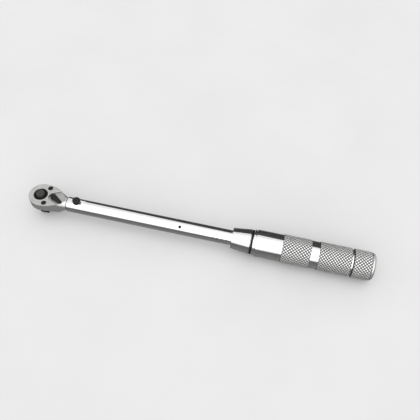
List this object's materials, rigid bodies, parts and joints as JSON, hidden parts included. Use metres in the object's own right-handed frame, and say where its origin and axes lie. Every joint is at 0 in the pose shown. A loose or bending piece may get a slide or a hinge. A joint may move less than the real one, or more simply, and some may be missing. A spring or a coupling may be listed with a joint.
{
  "type": "torque wrench",
  "caption": "Click torque wrench with a 3/8 inch square drive ratchet head, a steel tube and a knurled micrometer grip with an end lock knob.",
  "frame": {"origin": "centre of the drive square's tip face", "axes": "+X along the tube from the drive to the grip, +Z from the drive tip to the lever side"},
  "size_m": [0.3727, 0.03, 0.035],
  "materials": {
    "satin_steel": "satin plated",
    "chrome": "polished",
    "black_oxide": "black oxide",
    "machined_steel": "machined",
    "spring_steel": "oiled",
    "bronze": "machined",
    "rubber": "matte"
  },
  "bodies": {
    "tube_assembly": {"tube": "chrome", "pivot_pin": "black_oxide", "adjuster_nut": "bronze", "nut_pin": "machined_steel", "key_screw": "black_oxide", "thrust_piston": "machined_steel", "main_spring": "spring_steel"},
    "toggle": {"toggle_link": "machined_steel"},
    "head": {"head_body": "satin_steel", "pivot_bush": "bronze", "cover_plate": "satin_steel", "cover_screw_far": "black_oxide", "cover_screw_near": "black_oxide", "drive_retaining_ring": "spring_steel", "thrust_washer": "bronze"},
    "lever": {"reversing_lever": "black_oxide", "pawl_plunger": "machined_steel", "pawl_spring": "spring_steel"},
    "pawl_body": {"pawl": "machined_steel"},
    "drive": {"drive_gear": "black_oxide"},
    "release": {"release_button": "black_oxide", "release_pin": "machined_steel", "button_spring": "spring_steel"},
    "detent": {"socket_ball": "chrome"},
    "carriage": {"spring_seat": "machined_steel", "thrust_ball": "chrome"},
    "grip": {"scale_thimble": "chrome", "thimble_o_ring": "rubber", "grip_sleeve": "satin_steel", "adjuster_screw": "machined_steel", "end_plug": "machined_steel", "plug_pin": "machined_steel", "wiper_o_ring": "rubber", "knob_snap_ring": "spring_steel"},
    "knob": {"lock_knob": "satin_steel", "knob_end_cap": "satin_steel"},
    "lock": {"lock_rod": "machined_steel"}
  },
  "joints": [
    {"name": "head_pivot", "type": "hinge", "parent": "tube_assembly", "child": "head", "pos_m": [0.0406, 0, 0.02], "axis": [0, 0, 1], "range_deg": [-1.5, 1.5], "stiffness_Nm_per_rad": 5},
    {"name": "toggle_tip", "type": "hinge", "parent": "tube_assembly", "child": "toggle", "pos_m": [0.1368, 0, 0.02], "axis": [0, 0, 1], "range_deg": [-16.6, 16.6]},
    {"name": "lever_swing", "type": "hinge", "parent": "head", "child": "lever", "pos_m": [0.0143, 0, 0.02], "axis": [0, 0, 1], "range_deg": [0, 55]},
    {"name": "pawl_rock", "type": "hinge", "parent": "head", "child": "pawl_body", "pos_m": [0.0143, 0, 0.02], "axis": [0, 0, 1], "range_deg": [-16.01, 0]},
    {"name": "drive_spin", "type": "hinge", "parent": "head", "child": "drive", "pos_m": [0, 0, 0.02], "axis": [0, 0, 1], "continuous": true},
    {"name": "release_press", "type": "slide", "parent": "drive", "child": "release", "axis": [0, 0, -1], "range_m": [0, 0.0018], "stiffness_N_per_m": 600, "springref_m": -0.002, "deforming": ["button_spring"]},
    {"name": "ball_retract", "type": "slide", "parent": "drive", "child": "detent", "axis": [0, 1, 0], "range_m": [0, 0.00051]},
    {"name": "carriage_feed", "type": "slide", "parent": "tube_assembly", "child": "carriage", "axis": [-1, 0, 0], "range_m": [0, 0.02], "deforming": ["main_spring"]},
    {"name": "grip_turn", "type": "hinge", "parent": "carriage", "child": "grip", "pos_m": [0.3, 0, 0.02], "axis": [-1, 0, 0], "range_deg": [0, 2881]},
    {"name": "knob_turn", "type": "hinge", "parent": "grip", "child": "knob", "pos_m": [0.345, 0, 0.02], "axis": [1, 0, 0], "range_deg": [0, 180]},
    {"name": "lock_feed", "type": "slide", "parent": "grip", "child": "lock", "axis": [1, 0, 0], "range_m": [0, 0.00051]}
  ],
  "couplings": [
    {"joint": "toggle_tip", "follows": "head_pivot", "ratio": -11.025},
    {"joint": "pawl_rock", "follows": "lever_swing", "ratio": -0.29091},
    {"joint": "ball_retract", "follows": "release_press", "ratio": 0.27778},
    {"joint": "grip_turn", "follows": "carriage_feed", "rad_per_m": 2513.3},
    {"joint": "lock_feed", "follows": "knob_turn", "m_per_rad": 0.00015915}
  ]
}
